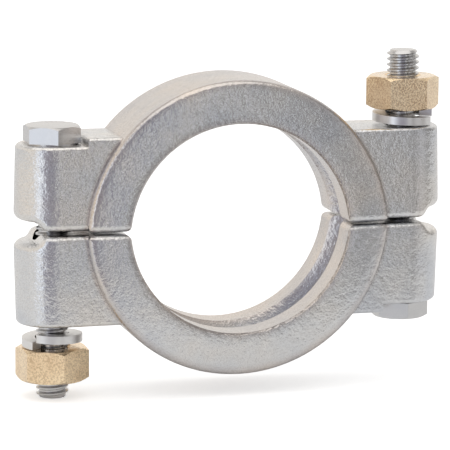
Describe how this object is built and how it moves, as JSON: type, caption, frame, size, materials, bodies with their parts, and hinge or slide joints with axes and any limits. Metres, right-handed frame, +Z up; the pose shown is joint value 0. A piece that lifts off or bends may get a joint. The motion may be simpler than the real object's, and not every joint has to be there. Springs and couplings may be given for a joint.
{
  "type": "two-bolt sanitary ferrule clamp",
  "caption": "Two-bolt high-pressure clamp for a sanitary ferrule joint: two cast halves with a V groove, hexagon bolts, nuts and split lock washers.",
  "frame": {"origin": "centre of the clamp's bore, midway between its faces, on the plane where the halves part", "axes": "+Y along the bore towards the back, +Z up along the bolts, +X from the left bolt to the right one"},
  "size_m": [0.1074, 0.0234, 0.083],
  "materials": {
    "cast_stainless": "tumbled cast stainless steel with a fine orange-peel grain",
    "bolt_steel": "satin stainless steel",
    "nut_bronze": "dull mottled bronze",
    "washer_steel": "bright rolled stainless steel"
  },
  "bodies": {
    "lower": {"lower_half": "cast_stainless", "right_bolt": "bolt_steel"},
    "upper": {"upper_half": "cast_stainless", "left_bolt": "bolt_steel", "right_lock_washer": "washer_steel"},
    "right_nut": {"right_nut": "nut_bronze"},
    "left_nut": {"left_nut": "nut_bronze", "left_lock_washer": "washer_steel"}
  },
  "joints": [
    {"name": "halves_part", "type": "slide", "parent": "lower", "child": "upper", "axis": [0, 0, 1], "range_m": [0, 0.0044]},
    {"name": "right_nut_turn", "type": "hinge", "parent": "upper", "child": "right_nut", "pos_m": [0.04445, 0, 0.031], "axis": [0, 0, 1], "range_deg": [0, 1124]},
    {"name": "left_nut_turn", "type": "hinge", "parent": "lower", "child": "left_nut", "pos_m": [-0.04445, 0, -0.033], "axis": [0, 0, -1], "range_deg": [0, 1124]}
  ],
  "couplings": [
    {"joint": "right_nut_turn", "follows": "halves_part", "rad_per_m": 4452.7},
    {"joint": "left_nut_turn", "follows": "halves_part", "rad_per_m": 4452.7}
  ]
}
